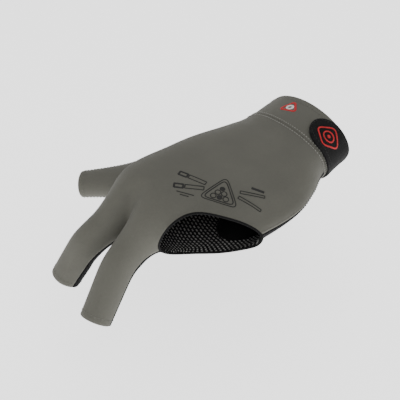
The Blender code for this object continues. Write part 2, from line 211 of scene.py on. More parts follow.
def hand_point(x, degrees):
    """Superellipse sections, rolled, turned and leant as SECTIONS says, at stations x."""
    stations = np.where(
        SECTIONS[:, 0] > 0,
        CUFF_LENGTH + SECTIONS[:, 1] * HAND_LENGTH,
        SECTIONS[:, 1] * CUFF_LENGTH,
    )
    spread, slim, side, rise, back, roll, yaw, lean, square = (
        smooth(x, stations, SECTIONS[:, n]) for n in range(2, 11)
    )
    half = lerp(WRIST_BREADTH, PALM_BREADTH, spread) / 2
    depth = lerp(WRIST_DEPTH, PALM_DEPTH, slim)
    turn = np.radians(degrees)
    across = half * rounded(np.cos(turn), 2 / square)
    rising = rounded(np.sin(turn), 2 / square)
    up = depth * rising * np.where(rising > 0, back, 1 - back)
    drop = -np.radians(roll)
    y = side * PALM_BREADTH + across * np.cos(drop) - up * np.sin(drop)
    z = rise * PALM_DEPTH + across * np.sin(drop) + up * np.cos(drop)
    x = x - across * np.tan(np.radians(yaw)) + up * np.tan(np.radians(lean))
    return np.stack(np.broadcast_arrays(x, y, z), axis=-1)


def through(rings):
    """Control points whose closed cubic B-spline passes through each ring's points."""
    eye = np.eye(rings.shape[-2])
    basis = (4 * eye + np.roll(eye, 1, 0) + np.roll(eye, -1, 0)) / 6
    return np.linalg.solve(basis, rings)


def tube_rings(knuckle, aims, lengths, table, breadth, depth, degrees):
    """Oval rings along a path that leaves the knuckle on one aim and bends to the other."""
    ways = np.linspace(0, 2, 201)
    t = np.clip((ways - 0.78) / 0.44, 0, 1)
    bend = t * t * (3 - 2 * t)
    yaw = np.radians(lerp(aims[0][0], aims[1][0], bend))
    down = np.radians(lerp(aims[0][1], aims[1][1], bend))
    along = np.stack(
        (np.cos(down) * np.cos(yaw), np.cos(down) * np.sin(yaw), -np.sin(down)), axis=-1
    )
    moved = np.cumsum(along * np.where(ways < 1, *lengths)[:, None], axis=0) * ways[1]
    n = np.round(table[:, 0] * 100).astype(int)
    side = np.stack((-np.sin(yaw[n]), np.cos(yaw[n]), 0 * yaw[n]), axis=-1)
    back = np.cross(along[n], side)
    start = np.array((
        CUFF_LENGTH + knuckle[0] * HAND_LENGTH,
        knuckle[1] * PALM_BREADTH,
        knuckle[2] * PALM_DEPTH,
    ))
    turn = np.radians(degrees)[None, :, None]
    wide = (breadth * table[:, 1] / 2)[:, None, None]
    deep = (depth * table[:, 2] / 2)[:, None, None]
    rings = (
        (start + moved[n])[:, None]
        + side[:, None] * np.cos(turn) * wide
        + back[:, None] * np.sin(turn) * deep
    )
    return through(rings)


class Cage:
    """Grids of corner numbers, with the place of each corner on its cloth in metres."""

    def __init__(self):
        self.corners, self.faces, self.places, self.labels, self.cloths = [], [], [], [], []

    def add(self, points):
        """Adds corners and returns their numbers in the same grid."""
        first = sum(len(group) for group in self.corners)
        self.corners.append(points.reshape(-1, 3))
        return first + np.arange(points[..., 0].size).reshape(points.shape[:-1])

    def weave(self, ids, along, across, rows, columns, cloth):
        """Faces between neighbouring corners of a grid, all of one cloth."""
        def corners_of(grid):
            return np.stack(
                (grid[:-1, :-1], grid[1:, :-1], grid[1:, 1:], grid[:-1, 1:]), axis=-1
            ).reshape(-1, 4)

        shape = ids.shape
        grids = [np.broadcast_to(g, shape) for g in (along, across, rows, columns)]
        along, across, rows, columns = (corners_of(g) for g in grids)
        self.faces.append(corners_of(ids))
        self.places.append(np.stack((along, across), axis=-1))
        self.labels.append(np.stack((rows, columns), axis=-1))
        self.cloths.append(np.full(len(self.faces[-1]), cloth))


def column(values):
    """The values as one column of a grid."""
    return np.asarray(values, float)[:, None]


def sleeve_cage():
    """The glove's cage. Corner labels are (row, column): hand rows 0 to 11, fingers from 12."""
    cage = Cage()
    rows = np.arange(LAST_ROW + 1)
    share = np.clip((rows - CUFF_ROWS) / HAND_ROWS, 0, 1)[:, None]
    x = np.minimum(rows, CUFF_ROWS)[:, None] / CUFF_ROWS * CUFF_LENGTH
    x = x + HAND_LENGTH * COLUMNS[:, 2] * share
    hand = through(hand_point(x, lerp(COLUMNS[:, 0], COLUMNS[:, 1], share)))
    ids = cage.add(hand)
    ids = np.concatenate((ids, ids[:, :1]), axis=1)
    ring = hand[LAST_ROW - 2]
    steps = np.linalg.norm(np.roll(ring, -1, 0) - ring, axis=1)
    width = np.concatenate(([0], np.cumsum(steps)))
    along = np.concatenate((x, x[:, :1]), axis=1)
    cols = np.arange(AROUND + 1)

    def panel(first_row, last_row, first, last, cloth):
        part = (slice(first_row, last_row + 1), slice(first, last + 1))
        cage.weave(ids[part], along[part], width[part[1]], column(rows[part[0]]),
                   cols[part[1]], cloth)

    panel(0, CUFF_ROWS, 0, AROUND, CUFF)
    near, far = CUFF_ROWS + THUMB_ROWS[0], CUFF_ROWS + THUMB_ROWS[1]
    panel(CUFF_ROWS, LAST_ROW, 0, SIDE_COLUMN, BACK)
    panel(CUFF_ROWS, LAST_ROW, SIDE_COLUMN, THUMB_COLUMN, PALM)
    panel(CUFF_ROWS, near, THUMB_COLUMN, AROUND, PALM)
    panel(far, LAST_ROW, THUMB_COLUMN, AROUND, PALM)

    index = tube_rings(INDEX_KNUCKLE, INDEX_AIM, INDEX_LENGTHS, FINGER_RINGS,
                       FINGER_BREADTH, FINGER_DEPTH, FINGER_COLUMNS + INDEX_TURN)
    middle = tube_rings(MIDDLE_KNUCKLE, MIDDLE_AIM, MIDDLE_LENGTHS, FINGER_RINGS,
                        FINGER_BREADTH, FINGER_DEPTH, FINGER_COLUMNS + MIDDLE_TURN)
    index[0, 4] = (index[0, 4] + middle[0, 0]) / 2
    index_ids, middle_ids = cage.add(index), cage.add(middle)
    middle_ids[0, 0] = index_ids[0, 4]
    flap_x = CUFF_LENGTH + HAND_LENGTH * PALM_EDGE[:, 0]
    flap_ids = cage.add(hand_point(flap_x, PALM_EDGE[:, 1]))

    base = np.concatenate((index_ids[0, :5], middle_ids[0, 1:5]))
    reach = along[-1, 4] + 0.02
    cage.weave(np.stack((ids[-1, :9], base)),
               np.stack((along[-1, :9], np.full(9, reach))), width[:9],
               column((LAST_ROW, LAST_ROW + 1)), cols[:9], BACK)
    base = np.concatenate(
        (flap_ids, middle_ids[0, 4:], index_ids[0, 4:], index_ids[0, :1])
    )
    under = slice(SIDE_COLUMN, AROUND + 1)
    reach_under = np.concatenate((flap_x, np.full(9, reach)))
    cage.weave(np.stack((ids[-1, under], base)),
               np.stack((along[-1, under], reach_under)), width[under],
               column((LAST_ROW, LAST_ROW + 1)), cols[under], PALM)

    for finger, lengths, back_col, palm_col in (
        (index_ids, INDEX_LENGTHS, 0, 16), (middle_ids, MIDDLE_LENGTHS, 4, 12),
    ):
        closed = np.concatenate((finger, finger[:, :1]), axis=1)
        way = FINGER_RINGS[:, 0]
        length = np.minimum(way, 1) * lengths[0] + np.maximum(way - 1, 0) * lengths[1]
        far_along = column(reach + length - length[0])
        finger_rows = column(LAST_ROW + 1 + np.arange(len(way)))
        for part, first, cloth in (
            (slice(0, 5), back_col, BACK), (slice(4, 9), palm_col + 4, PALM),
        ):
            at = slice(first, first + 5)
            cage.weave(closed[:, part], far_along, width[at], finger_rows, cols[at], cloth)

    sides = list(range(AROUND, THUMB_COLUMN - 1, -1))
    hole = np.concatenate((
        ids[near:far, AROUND], ids[far, sides[:-1]],
        ids[far:near:-1, THUMB_COLUMN], ids[near, sides[:0:-1]],
    ))
    count = len(hole)
    degrees = 150 - 360 * np.arange(count) / count
    thumb = tube_rings(THUMB_KNUCKLE, THUMB_AIM, THUMB_LENGTHS, THUMB_RINGS,
                       THUMB_BREADTH, THUMB_DEPTH, degrees)
    thumb_ids = cage.add(thumb)
    closed = np.concatenate((thumb_ids, thumb_ids[:, :1]), axis=1)
    hole = np.concatenate((hole, hole[:1]))
    way = THUMB_RINGS[:, 0]
    length = np.minimum(way, 1) * THUMB_LENGTHS[0] + np.maximum(way - 1, 0) * THUMB_LENGTHS[1]
    girth = np.arange(count + 1) * 0.0052
    steps = np.arange(count + 1) + 100
    cage.weave(np.stack((hole, closed[0])), column((0, length[0])), girth,
               column((0, 1)), steps, PALM)
    thumb_rows = column(1 + np.arange(len(way)))
    split = count // 2 + 1
    for part, cloth in ((slice(0, split + 1), THUMB), (slice(split, count + 1), PALM)):
        cage.weave(closed[:, part], column(length), girth[part], thumb_rows, steps[part], cloth)
    return cage, hand


def mesh_from(name, points, faces):
    """A mesh from arrays of points and of quads' corner numbers."""
    mesh = bpy.data.meshes.new(name)
    mesh.from_pydata(points.tolist(), [], faces.tolist())
    return mesh


def fine_sleeve(cage):
    """The cage under Subdivision Surface: points, normals, faces and what each carries."""
    points = np.concatenate(cage.corners)
    faces = np.concatenate(cage.faces)
    used, faces = np.unique(faces, return_inverse=True)
    faces = faces.reshape(-1, 4)
    mesh = mesh_from("sleeve_cage", points[used], faces)
    for name, values in (("place", cage.places), ("label", cage.labels)):
        layer = mesh.uv_layers.new(name=name)
        layer.data.foreach_set("uv", np.concatenate(values).astype(np.float32).ravel())
    mesh.polygons.foreach_set("material_index", np.concatenate(cage.cloths).astype(np.int32))
    form = bpy.data.objects.new("sleeve_cage", mesh)
    bpy.context.scene.collection.objects.link(form)
    subdivision = form.modifiers.new("Subdivision", "SUBSURF")
    subdivision.levels = subdivision.render_levels = FINENESS
    fine = form.evaluated_get(bpy.context.evaluated_depsgraph_get()).to_mesh()

    def read(items, key, width, kind=np.float32):
        values = np.empty(len(items) * width, kind)
        items.foreach_get(key, values)
        return values.reshape(-1, width) if width > 1 else values

    sleeve = {
        "points": read(fine.vertices, "co", 3).astype(float),
        "normals": read(fine.vertices, "normal", 3).astype(float),
        "faces": read(fine.loops, "vertex_index", 1, np.int32).reshape(-1, 4),
        "cloths": read(fine.polygons, "material_index", 1, np.int32),
        "place": read(fine.uv_layers["place"].data, "uv", 2).reshape(-1, 4, 2),
        "label": read(fine.uv_layers["label"].data, "uv", 2).reshape(-1, 4, 2),
    }
    bpy.data.objects.remove(form)
    return sleeve


# Folds and dents of the worn cloth: ends of each, half width, and height out of the cloth
FOLDS = np.array([
    # start x, y, z, end x, y, z, half width, height
    (0.138, -0.017, 0.014, 0.158, -0.014, 0.002, 0.0045, -0.0012),
    (0.030, -0.020, 0.016, 0.040, 0.010, 0.021, 0.0050, 0.0005),
    (0.036, -0.024, 0.014, 0.047, 0.004, 0.019, 0.0045, -0.0005),
    (0.034, 0.030, 0.008, 0.052, 0.040, 0.002, 0.0045, 0.0006),
    (0.044, -0.034, 0.006, 0.075, -0.036, 0.004, 0.0060, 0.0007),
    (0.085, -0.040, 0.004, 0.105, -0.030, 0.012, 0.0060, -0.0007),
    (0.120, 0.004, 0.018, 0.112, 0.024, 0.014, 0.0060, -0.0006),
    (0.080, -0.020, -0.016, 0.100, 0.010, -0.016, 0.0060, 0.0009),
    (0.060, -0.022, -0.014, 0.072, 0.016, -0.016, 0.0050, -0.0008),
    (0.160, -0.027, -0.019, 0.166, -0.026, -0.024, 0.0040, -0.0008),
    (0.160, -0.001, -0.021, 0.168, 0.000, -0.026, 0.0040, -0.0008),
])


def folds(points):
    """Sum over the folds of height times exp(-(distance / half width) squared)."""
    start, end = FOLDS[:, :3], FOLDS[:, 3:6]
    run = end - start
    away = points[..., None, :] - start
    t = np.clip((away * run).sum(-1) / (run * run).sum(-1), 0, 1)
    gap = np.linalg.norm(away - t[..., None] * run, axis=-1)
    return (FOLDS[:, 7] * np.exp(-((gap / FOLDS[:, 6]) ** 2))).sum(-1)


def link(name, mesh, materials):
    """A named object at the origin, shaded smooth."""
    mesh.polygons.foreach_set("use_smooth", np.ones(len(mesh.polygons), bool))
    obj = bpy.data.objects.new(name, mesh)
    bpy.context.scene.collection.objects.link(obj)
    for material in materials:
        mesh.materials.append(material)
    return obj


def cloth_piece(sleeve, cloth, thickness, name, outer, inner):
    """One cloth with a wall: outer faces, the same moved inward, and a rounded rim between.

    A seam's edge is pulled back from its neighbour, and each rim bulges by a set rounding.
    """
    mine = sleeve["cloths"] == cloth
    used, faces = np.unique(sleeve["faces"][mine], return_inverse=True)
    faces = faces.reshape(-1, 4)
    points, normals = sleeve["points"][used], sleeve["normals"][used]
    edges = np.stack((faces, np.roll(faces, -1, 1)), axis=-1).reshape(-1, 2)
    key = np.sort(edges, axis=1) @ np.array((len(used), 1))
    _, first, counts = np.unique(key, return_index=True, return_counts=True)
    border = edges[first[counts == 1]]
    centres = points[faces].mean(axis=1)[first[counts == 1] // 4]
    away = np.zeros_like(points)
    for end in (0, 1):
        np.add.at(away, border[:, end], points[border].mean(axis=1) - centres)
    away -= normals * (away * normals).sum(-1, keepdims=True)
    away = unit(away)
    others = np.zeros(len(sleeve["points"]), bool)
    others[sleeve["faces"][~mine]] = True
    seam = others[used][:, None]
    outside = points + normals * folds(points)[:, None] - away * np.where(seam, SEAM_PULL, 0)
    inside = outside - normals * thickness
    rim = np.unique(border)
    middle = (outside + inside)[rim] / 2 + away[rim] * np.where(
        seam[rim], SEAM_ROUNDING, EDGE_ROUNDING
    )
    number = len(points)
    ring = np.zeros(number, int)
    ring[rim] = np.arange(len(rim)) + 2 * number
    a, b = border[:, 0], border[:, 1]
    walls = np.concatenate((
        np.stack((b, a, ring[a], ring[b]), axis=-1),
        np.stack((ring[b], ring[a], a + number, b + number), axis=-1),
    ))
    every = np.concatenate((faces, faces[:, ::-1] + number, walls))
    mesh = mesh_from(name, np.concatenate((outside, inside, middle)), every)
    place = sleeve["place"][mine]
    rim_place = np.repeat(place[first[counts == 1] // 4, :1], 4, axis=1)
    layer = mesh.uv_layers.new(name="place")
    layer.data.foreach_set("uv", np.concatenate(
        (place, place[:, ::-1], rim_place, rim_place)
    ).astype(np.float32).ravel())
    inner_faces = np.zeros(len(every), np.int32)
    inner_faces[len(faces):2 * len(faces)] = 1
    mesh.polygons.foreach_set("material_index", inner_faces)
    return link(name, mesh, [outer, inner])


def cubic(t):
    """The four weights of the uniform cubic B-spline at t, and their slopes."""
    weights = np.stack(
        ((1 - t) ** 3, 3 * t**3 - 6 * t**2 + 4, -3 * t**3 + 3 * t**2 + 3 * t + 1, t**3), -1
    ) / 6
    slopes = np.stack(
        (-((1 - t) ** 2), 3 * t**2 - 4 * t, -3 * t**2 + 2 * t + 1, t**2), -1
    ) / 2
    return weights, slopes


def on_sleeve(hand, row, col):
    """Points, outward normals and both slopes of the hand's B-spline surface at (row, column)."""
    grid = np.concatenate((2 * hand[:1] - hand[1:2], hand, 2 * hand[-1:] - hand[-2:-1]))
    row, col = np.broadcast_arrays(row, col)
    r = np.clip(np.floor(row).astype(int), 0, LAST_ROW - 1)
    c = np.floor(col).astype(int)
    wr, sr = cubic(row - r)
    wc, sc = cubic(col - c)
    rows = r[..., None] + np.arange(4)
    cols = (c[..., None] + np.arange(-1, 3)) % AROUND
    patch = grid[rows[..., :, None], cols[..., None, :]]
    point = np.einsum("...i,...j,...ijk->...k", wr, wc, patch)
    by_row = np.einsum("...i,...j,...ijk->...k", sr, wc, patch)
    by_col = np.einsum("...i,...j,...ijk->...k", wr, sc, patch)
    normal = unit(np.cross(by_col, by_row))
    flip = np.sign((normal * (point - hand.mean(axis=(0, 1)))).sum(-1).mean())
    return point, normal * flip, by_row, by_col


def hand_place(share, degrees, station=None):
    """The row and column at a share of the hand's length and those degrees round it.

    The columns' own degrees are read at that share, or at the station if one is given.
    """
    middle = lerp(COLUMNS[:, 0], COLUMNS[:, 1], share if station is None else station)
    reach = np.interp(-degrees, -middle, COLUMNS[:, 2])
    col = np.interp(-degrees, -middle, np.arange(AROUND))
    return CUFF_ROWS + HAND_ROWS * share / reach, col


def laid(hand, row, col, design, height, heading=0.0):
    """Design points (x, y) laid on the cloth round (row, column), at a height above it.

    Newton steps find the row and column whose point has the design's place in the tangent
    plane there, with x turned from the wrist-to-finger way by heading degrees.
    """
    centre, normal, by_row, _ = on_sleeve(hand, np.array(row, float), np.array(col, float))
    ahead = unit(by_row)
    side = np.cross(normal, ahead)
    turn = math.radians(heading)
    ahead, side = (
        ahead * math.cos(turn) + side * math.sin(turn),
        side * math.cos(turn) - ahead * math.sin(turn),
    )
    axes = np.stack((ahead, side))
    at = np.broadcast_to(np.array((row, col), float), design.shape).copy()
    for _ in range(12):
        point, _, by_row, by_col = on_sleeve(hand, at[..., 0], at[..., 1])
        miss = design - (point - centre) @ axes.T
        slope = np.stack((by_row @ axes.T, by_col @ axes.T), axis=-1)
        at += np.clip(np.linalg.solve(slope, miss[..., None])[..., 0], -0.5, 0.5)
        at[..., 0] = np.clip(at[..., 0], 0.1, LAST_ROW - 0.1)
    point, normal, _, _ = on_sleeve(hand, at[..., 0], at[..., 1])
    return point + normal * (folds(point) + height)[..., None]


def swept(sections, closed):
    """Faces round and along a run of sections, (station, corner), that may close on itself."""
    stations, corners = sections.shape[:2]
    ids = np.arange(stations * corners).reshape(stations, corners)
    ahead = np.roll(ids, -1, 0) if closed else ids[1:]
    here = ids if closed else ids[:-1]
    return np.stack(
        (here, np.roll(here, -1, 1), np.roll(ahead, -1, 1), ahead), axis=-1
    ).reshape(-1, 4)


def joined(name, groups, material):
    """One object from several (points, faces) groups."""
    points, faces, first = [], [], 0
    for group_points, group_faces in groups:
        points.append(group_points.reshape(-1, 3))
        faces.append(group_faces + first)
        first += len(points[-1])
    mesh = mesh_from(name, np.concatenate(points), np.concatenate(faces))
    return link(name, mesh, [material])


def outward(points, faces):
    """The faces, turned round if they enclose a negative volume."""
    corners = points.reshape(-1, 3)[faces]
    middle = corners.mean(axis=(0, 1))
    a, b, c, d = (corners[:, n] - middle for n in range(4))
    volume = (np.cross(a, b) * c).sum() + (np.cross(a, c) * d).sum()
    return faces if volume > 0 else faces[:, ::-1]


def ribbon(path, width, closed):
    """Sections of a flat line along a path in the design plane: (x, y) and height share."""
    ahead = np.roll(path, -1, 0) - np.roll(path, 1, 0)
    if not closed:
        ahead[0], ahead[-1] = path[1] - path[0], path[-1] - path[-2]
    ahead = unit(ahead)
    side = np.stack((-ahead[:, 1], ahead[:, 0]), axis=-1)
    across = np.array((-1.0, -1.0, -0.72, -0.24, 0.24, 0.72, 1.0, 1.0)) / 2
    lift = np.array((-0.6, 0.35, 0.9, 1.0, 1.0, 0.9, 0.35, -0.6))
    width = np.broadcast_to(width, len(path))[:, None, None]
    flat = path[:, None] + side[:, None] * across[None, :, None] * width
    return flat, np.broadcast_to(lift, flat.shape[:2])


def capped(points):
    """A run of sections with an even count of corners, closed at both ends by fans of quads."""
    stations, corners = points.shape[:2]
    start = np.arange(corners // 2 - 1)
    quads = np.stack((start, start + 1, corners - 2 - start, corners - 1 - start), axis=-1)
    last = (stations - 1) * corners
    faces = np.concatenate((swept(points, False), quads[:, ::-1], quads + last))
    return points, outward(points, faces)


def printed(name, hand, row, col, heading, lines, height, material, base=0.0):
    """Lines of raised print on the cloth. Each line is (path, width, closed).

    Their under sides sink into the cloth, or into what lies on it up to the base height.
    """
    groups = []
    for path, width, closed in lines:
        flat, lift = ribbon(path, width, closed)
        points = laid(hand, row, col, flat, base + lift * height, heading)
        groups.append((points, outward(points, swept(points, True))) if closed else capped(points))
    return joined(name, groups, material)


def lengths_of(path):
    """The way along the path from its start to each of its points."""
    gaps = np.linalg.norm(np.diff(path, axis=0), axis=1)
    return np.concatenate(([0], np.cumsum(gaps)))


def read_along(at, length, values):
    """Each column of the values, given at those lengths, read at other places."""
    return np.stack([np.interp(at, length, column) for column in values.T], axis=-1)


def circle(x, y, radius, count=40):
    """Points round a circle."""
    turn = np.arange(count) / count * 2 * math.pi
    return np.stack((x + radius * np.cos(turn), y + radius * np.sin(turn)), axis=-1)


def corners_rounded(points, bend, count=6):
    """A closed path round the points, each corner cut by a curve of about that size."""
    points = np.asarray(points, float)
    before, after = np.roll(points, 1, 0) - points, np.roll(points, -1, 0) - points
    before *= bend / np.linalg.norm(before, axis=1, keepdims=True)
    after *= bend / np.linalg.norm(after, axis=1, keepdims=True)
    t = np.linspace(0, 1, count)[None, :, None]
    curve = points[:, None] + before[:, None] * (1 - t) ** 2 + after[:, None] * t**2
    path = curve.reshape(-1, 2)
    path = np.concatenate((path, path[:1]))
    length = lengths_of(path)
    even = np.linspace(0, length[-1], count * 12, endpoint=False)
    return read_along(even, length, path)


def steps_along(length, pitch):
    """Even places along a path of those lengths, about a pitch apart, and their real pitch."""
    count = max(2, int(round(length[-1] / pitch)))
    return (np.arange(count) + 0.5) / count * length[-1], length[-1] / count


def stitches(name, runs, material, pitch=0.0024, share=0.72, radius=0.00024):
    """Short threads along each run of (points, normals, closed): each is a bent spindle.

    Its middle stands proud by its radius, and its ends dip into the cloth as a cosine does.
    """
    s = np.linspace(-1, 1, 7)
    fat = np.sqrt(np.maximum(1 - s**4, 0.02))
    turn = np.arange(6) / 6 * 2 * math.pi
    groups = []
    for path, normals, closed in runs:
        if closed:
            path = np.concatenate((path, path[:1]))
            normals = np.concatenate((normals, normals[:1]))
        length = lengths_of(path)
        at, step = steps_along(length, pitch)
        middle = read_along(at, length, path)
        ahead = read_along(np.minimum(at + step / 4, length[-1]), length, path) - middle
        ahead = unit(ahead)
        side, up = across_and_up(ahead, read_along(at, length, normals))
        centre = (
            middle[:, None]
            + ahead[:, None] * s[None, :, None] * (step * share / 2)
            + up[:, None] * (np.cos(s * math.pi / 2) * 1.5 - 0.7)[None, :, None] * radius
        )
        round_it = (
            side[:, None, None] * np.cos(turn)[None, None, :, None]
            + up[:, None, None] * np.sin(turn)[None, None, :, None]
        )
        points = centre[:, :, None] + round_it * (fat * radius)[None, :, None, None]
        one = swept(points[0], False)
        caps = np.array(((3, 2, 1, 0), (5, 4, 3, 0)))
        caps = np.concatenate((caps, (caps + 6 * (len(s) - 1))[:, ::-1]))
        one = outward(points[0], np.concatenate((one, caps)))
        shift = np.arange(len(points))[:, None, None] * (len(s) * 6)
        groups.append((points, (one[None] + shift).reshape(-1, 4)))
    return joined(name, groups, material)


# Materials

def new_material(name, colour, roughness, **constants):
    """A Principled material, with its node tree and its shader."""
    material = bpy.data.materials.new(name)
    material.use_nodes = True
    tree = material.node_tree
    shader = tree.nodes["Principled BSDF"]
    shader.inputs["Base Color"].default_value = (*colour, 1)
    shader.inputs["Roughness"].default_value = roughness
    for key, value in constants.items():
        shader.inputs[key.replace("_", " ")].default_value = value
    return material, tree, shader


def node(tree, kind, inputs=(), **settings):
    """A node with its settings made, and its inputs set or linked by name or number."""
    made = tree.nodes.new(kind)
    for key, value in settings.items():
        setattr(made, key, value)
    for key, value in dict(inputs).items():
        socket = made.inputs[key]
        if isinstance(value, bpy.types.NodeSocket):
            tree.links.new(value, socket)
        else:
            socket.default_value = value
    return made


def mixed(tree, factor, dark, light):
    """A colour between two, by a factor."""
    mix = node(tree, "ShaderNodeMix", {0: factor, 6: dark, 7: light}, data_type="RGBA")
    return mix.outputs[2]


def ramp(tree, value, low, high, out_low=0.0, out_high=1.0):
    """The value mapped from one range to another and held inside it."""
    made = node(tree, "ShaderNodeMapRange", {
        "Value": value, "From Min": low, "From Max": high, "To Min": out_low, "To Max": out_high,
    })
    return made.outputs["Result"]


def math_node(tree, operation, a, b=0.0):
    """One step of arithmetic."""
    return node(tree, "ShaderNodeMath", {0: a, 1: b}, operation=operation).outputs[0]


def tinted(colour, factor):
    """The colour made darker or lighter by a factor, opaque."""
    return (*(min(1, c * factor) for c in colour), 1)


def object_place(tree):
    """Object coordinates."""
    return node(tree, "ShaderNodeTexCoord").outputs["Object"]


def noise(tree, where, scale, detail):
    """Cloudy noise from 0 to 1."""
    made = node(tree, "ShaderNodeTexNoise", {"Vector": where, "Scale": scale, "Detail": detail})
    return made.outputs[0]


def coloured(tree, shader, factor, dark, light):
    """The shader's colour runs from dark to light with the factor."""
    tree.links.new(mixed(tree, factor, dark, light), shader.inputs["Base Color"])


def bump(tree, height, strength, distance, **inputs):
    """A normal that follows a height."""
    inputs.update(Height=height, Strength=strength, Distance=distance)
    return node(tree, "ShaderNodeBump", inputs)


def knit_height(tree, place, wale, course):
    """Height of a fine knit: ribs along the cloth crossed by a row of loops."""
    split = node(tree, "ShaderNodeSeparateXYZ", {0: place})
    across = math_node(tree, "MULTIPLY", split.outputs[1], 2 * math.pi / wale)
    along = math_node(tree, "MULTIPLY", split.outputs[0], 2 * math.pi / course)
    ribs = math_node(tree, "SINE", across)
    shifted = math_node(tree, "ADD", along, math_node(tree, "MULTIPLY", ribs, 0.9))
    loops = math_node(tree, "SINE", shifted)
    return math_node(tree, "ADD", math_node(tree, "MULTIPLY", ribs, 0.5), loops)


def knit(name, colour, wale, course, variation, fuzz, sheen):
    """Stretch knit: ribs and loops in bump, mottled colour, and a soft sheen at its edges."""
    material, tree, shader = new_material(
        name, colour, 0.86, Sheen_Weight=sheen, Sheen_Roughness=0.45, Specular_IOR_Level=0.25
    )
    place = node(tree, "ShaderNodeUVMap", uv_map="place").outputs[0]
    where = object_place(tree)
    broad, grain = noise(tree, where, 38.0, 3.0), noise(tree, where, 900.0, 2.0)
    height = knit_height(tree, place, wale, course)
    tone = math_node(tree, "ADD", math_node(tree, "MULTIPLY", broad, 0.5),
                     math_node(tree, "MULTIPLY", grain, 0.35))
    tone = math_node(tree, "ADD", tone, math_node(tree, "MULTIPLY", height, 0.05))
    coloured(tree, shader, ramp(tree, tone, 0.25, 0.6),
             tinted(colour, 1 - variation), tinted(colour, 1 + variation))
    tree.links.new(ramp(tree, grain, 0.3, 0.7, 0.80, 0.93), shader.inputs["Roughness"])
    rough = bump(tree, grain, fuzz, 0.0002)
    fine = bump(tree, height, 0.35, 0.00008, Normal=rough.outputs[0])
    tree.links.new(fine.outputs[0], shader.inputs["Normal"])
    return material


def mesh_cloth(name, thread, colour):
    """Open mesh: staggered rows of short bars on a black ground. Pale bars, as on the inner face,
    are painted light seen through the mesh's holes.
    """
    material, tree, shader = new_material(
        name, colour, 0.85, Sheen_Weight=0.02, Specular_IOR_Level=0.08
    )
    place = node(tree, "ShaderNodeUVMap", uv_map="place").outputs[0]
    turn = node(tree, "ShaderNodeMapping", {
        "Vector": place, "Rotation": (0, 0, math.radians(MESH_TURN)),
    })
    bricks = node(tree, "ShaderNodeTexBrick", {
        "Vector": turn.outputs[0], "Color1": (1, 1, 1, 1), "Color2": (0.75, 0.75, 0.75, 1),
        "Mortar": (0, 0, 0, 1), "Scale": 1.0, "Mortar Size": MESH_GAP, "Mortar Smooth": 0.25,
        "Brick Width": MESH_STEP, "Row Height": MESH_ROW,
    }, offset=0.5)
    grain = noise(tree, object_place(tree), 1100.0, 2.0)
    bars = math_node(tree, "MULTIPLY", bricks.outputs[0], ramp(tree, grain, 0.3, 0.7, 0.6, 1.1))
    # Bars in the given colour; on the inner face they are pale, painted light seen through the
    # holes
    coloured(tree, shader, bars, (*colour, 1), (*thread, 1))
    tree.links.new(bump(tree, bars, 0.5, 0.0002).outputs[0], shader.inputs["Normal"])
    return material


def plain_thread(name, colour, sheen=0.03):
    """Twisted thread or rolled tape: fine slanting ridges and a little colour change."""
    material, tree, shader = new_material(
        name, colour, 0.75, Sheen_Weight=sheen, Specular_IOR_Level=0.15
    )
    twist = node(tree, "ShaderNodeTexWave", {
        "Vector": object_place(tree), "Scale": 900.0, "Distortion": 1.5, "Detail": 1.0,
    }).outputs["Fac"]
    coloured(tree, shader, twist, tinted(colour, 0.75), tinted(colour, 1.2))
    tree.links.new(bump(tree, twist, 0.4, 0.00006).outputs[0], shader.inputs["Normal"])
    return material


def napped(name, colour, scale, strength):
    """Close nap: loops of pile as small cells, with worn paler tips."""
    material, tree, shader = new_material(
        name, colour, 0.92, Sheen_Weight=0.05, Specular_IOR_Level=0.1
    )
    where = object_place(tree)
    cells = node(tree, "ShaderNodeTexVoronoi", {"Vector": where, "Scale": scale}).outputs[0]
    cloud = noise(tree, where, 120.0, 4.0)
    tone = math_node(tree, "MULTIPLY", cloud, ramp(tree, cells, 0, 0.6, 1, 0.3))
    coloured(tree, shader, ramp(tree, tone, 0.2, 0.7), tinted(colour, 0.6), tinted(colour, 2.4))
    pile = bump(tree, cells, strength, 0.00025)
    pile.invert = True
    tree.links.new(pile.outputs[0], shader.inputs["Normal"])
    return material


def print_ink(name, colour):
    """Rubbery print, a little uneven where the cloth's loops show through it."""
    material, tree, shader = new_material(name, colour, 0.55, Specular_IOR_Level=0.35)
    grain = noise(tree, object_place(tree), 700.0, 2.0)
    coloured(tree, shader, ramp(tree, grain, 0.35, 0.65),
             tinted(colour, 0.82), tinted(colour, 1.15))
    tree.links.new(bump(tree, grain, 0.15, 0.0001).outputs[0], shader.inputs["Normal"])
    return material


# Camera: the photograph's angle, with the cuff's mouth at its place in the 400 by 400 frame
CAMERA_TURN = math.radians(45)
CAMERA_RISE = math.radians(40)
CAMERA_DISTANCE = 0.445
CAMERA_FOCUS = 667.0
MOUTH_PIXEL = (308.5, 126.9)
IMAGE = 400.0
SENSOR = 36.0


def make_camera():
    """A camera that looks down on the back of the hand from the fingers' outer side."""
    a, e = CAMERA_TURN, CAMERA_RISE
    right = Vector((-math.sin(a), math.cos(a), 0))
    up = Vector((-math.cos(a) * math.sin(e), -math.sin(a) * math.sin(e), math.cos(e)))
    forward = -Vector((math.cos(a) * math.cos(e), math.sin(a) * math.cos(e), math.sin(e)))
    x = (MOUTH_PIXEL[0] - IMAGE / 2) / CAMERA_FOCUS * CAMERA_DISTANCE
    y = (IMAGE / 2 - MOUTH_PIXEL[1]) / CAMERA_FOCUS * CAMERA_DISTANCE
    data = bpy.data.cameras.new("camera")
    data.sensor_width = SENSOR
    data.lens = CAMERA_FOCUS / IMAGE * SENSOR
    data.clip_start, data.clip_end = 0.01, 20
    camera = bpy.data.objects.new("camera", data)
    bpy.context.scene.collection.objects.link(camera)
    turned = Matrix((right, up, -forward)).transposed()
    camera.matrix_world = Matrix.Translation(
        -(right * x + up * y + forward * CAMERA_DISTANCE)
    ) @ turned.to_4x4()
    bpy.context.scene.camera = camera


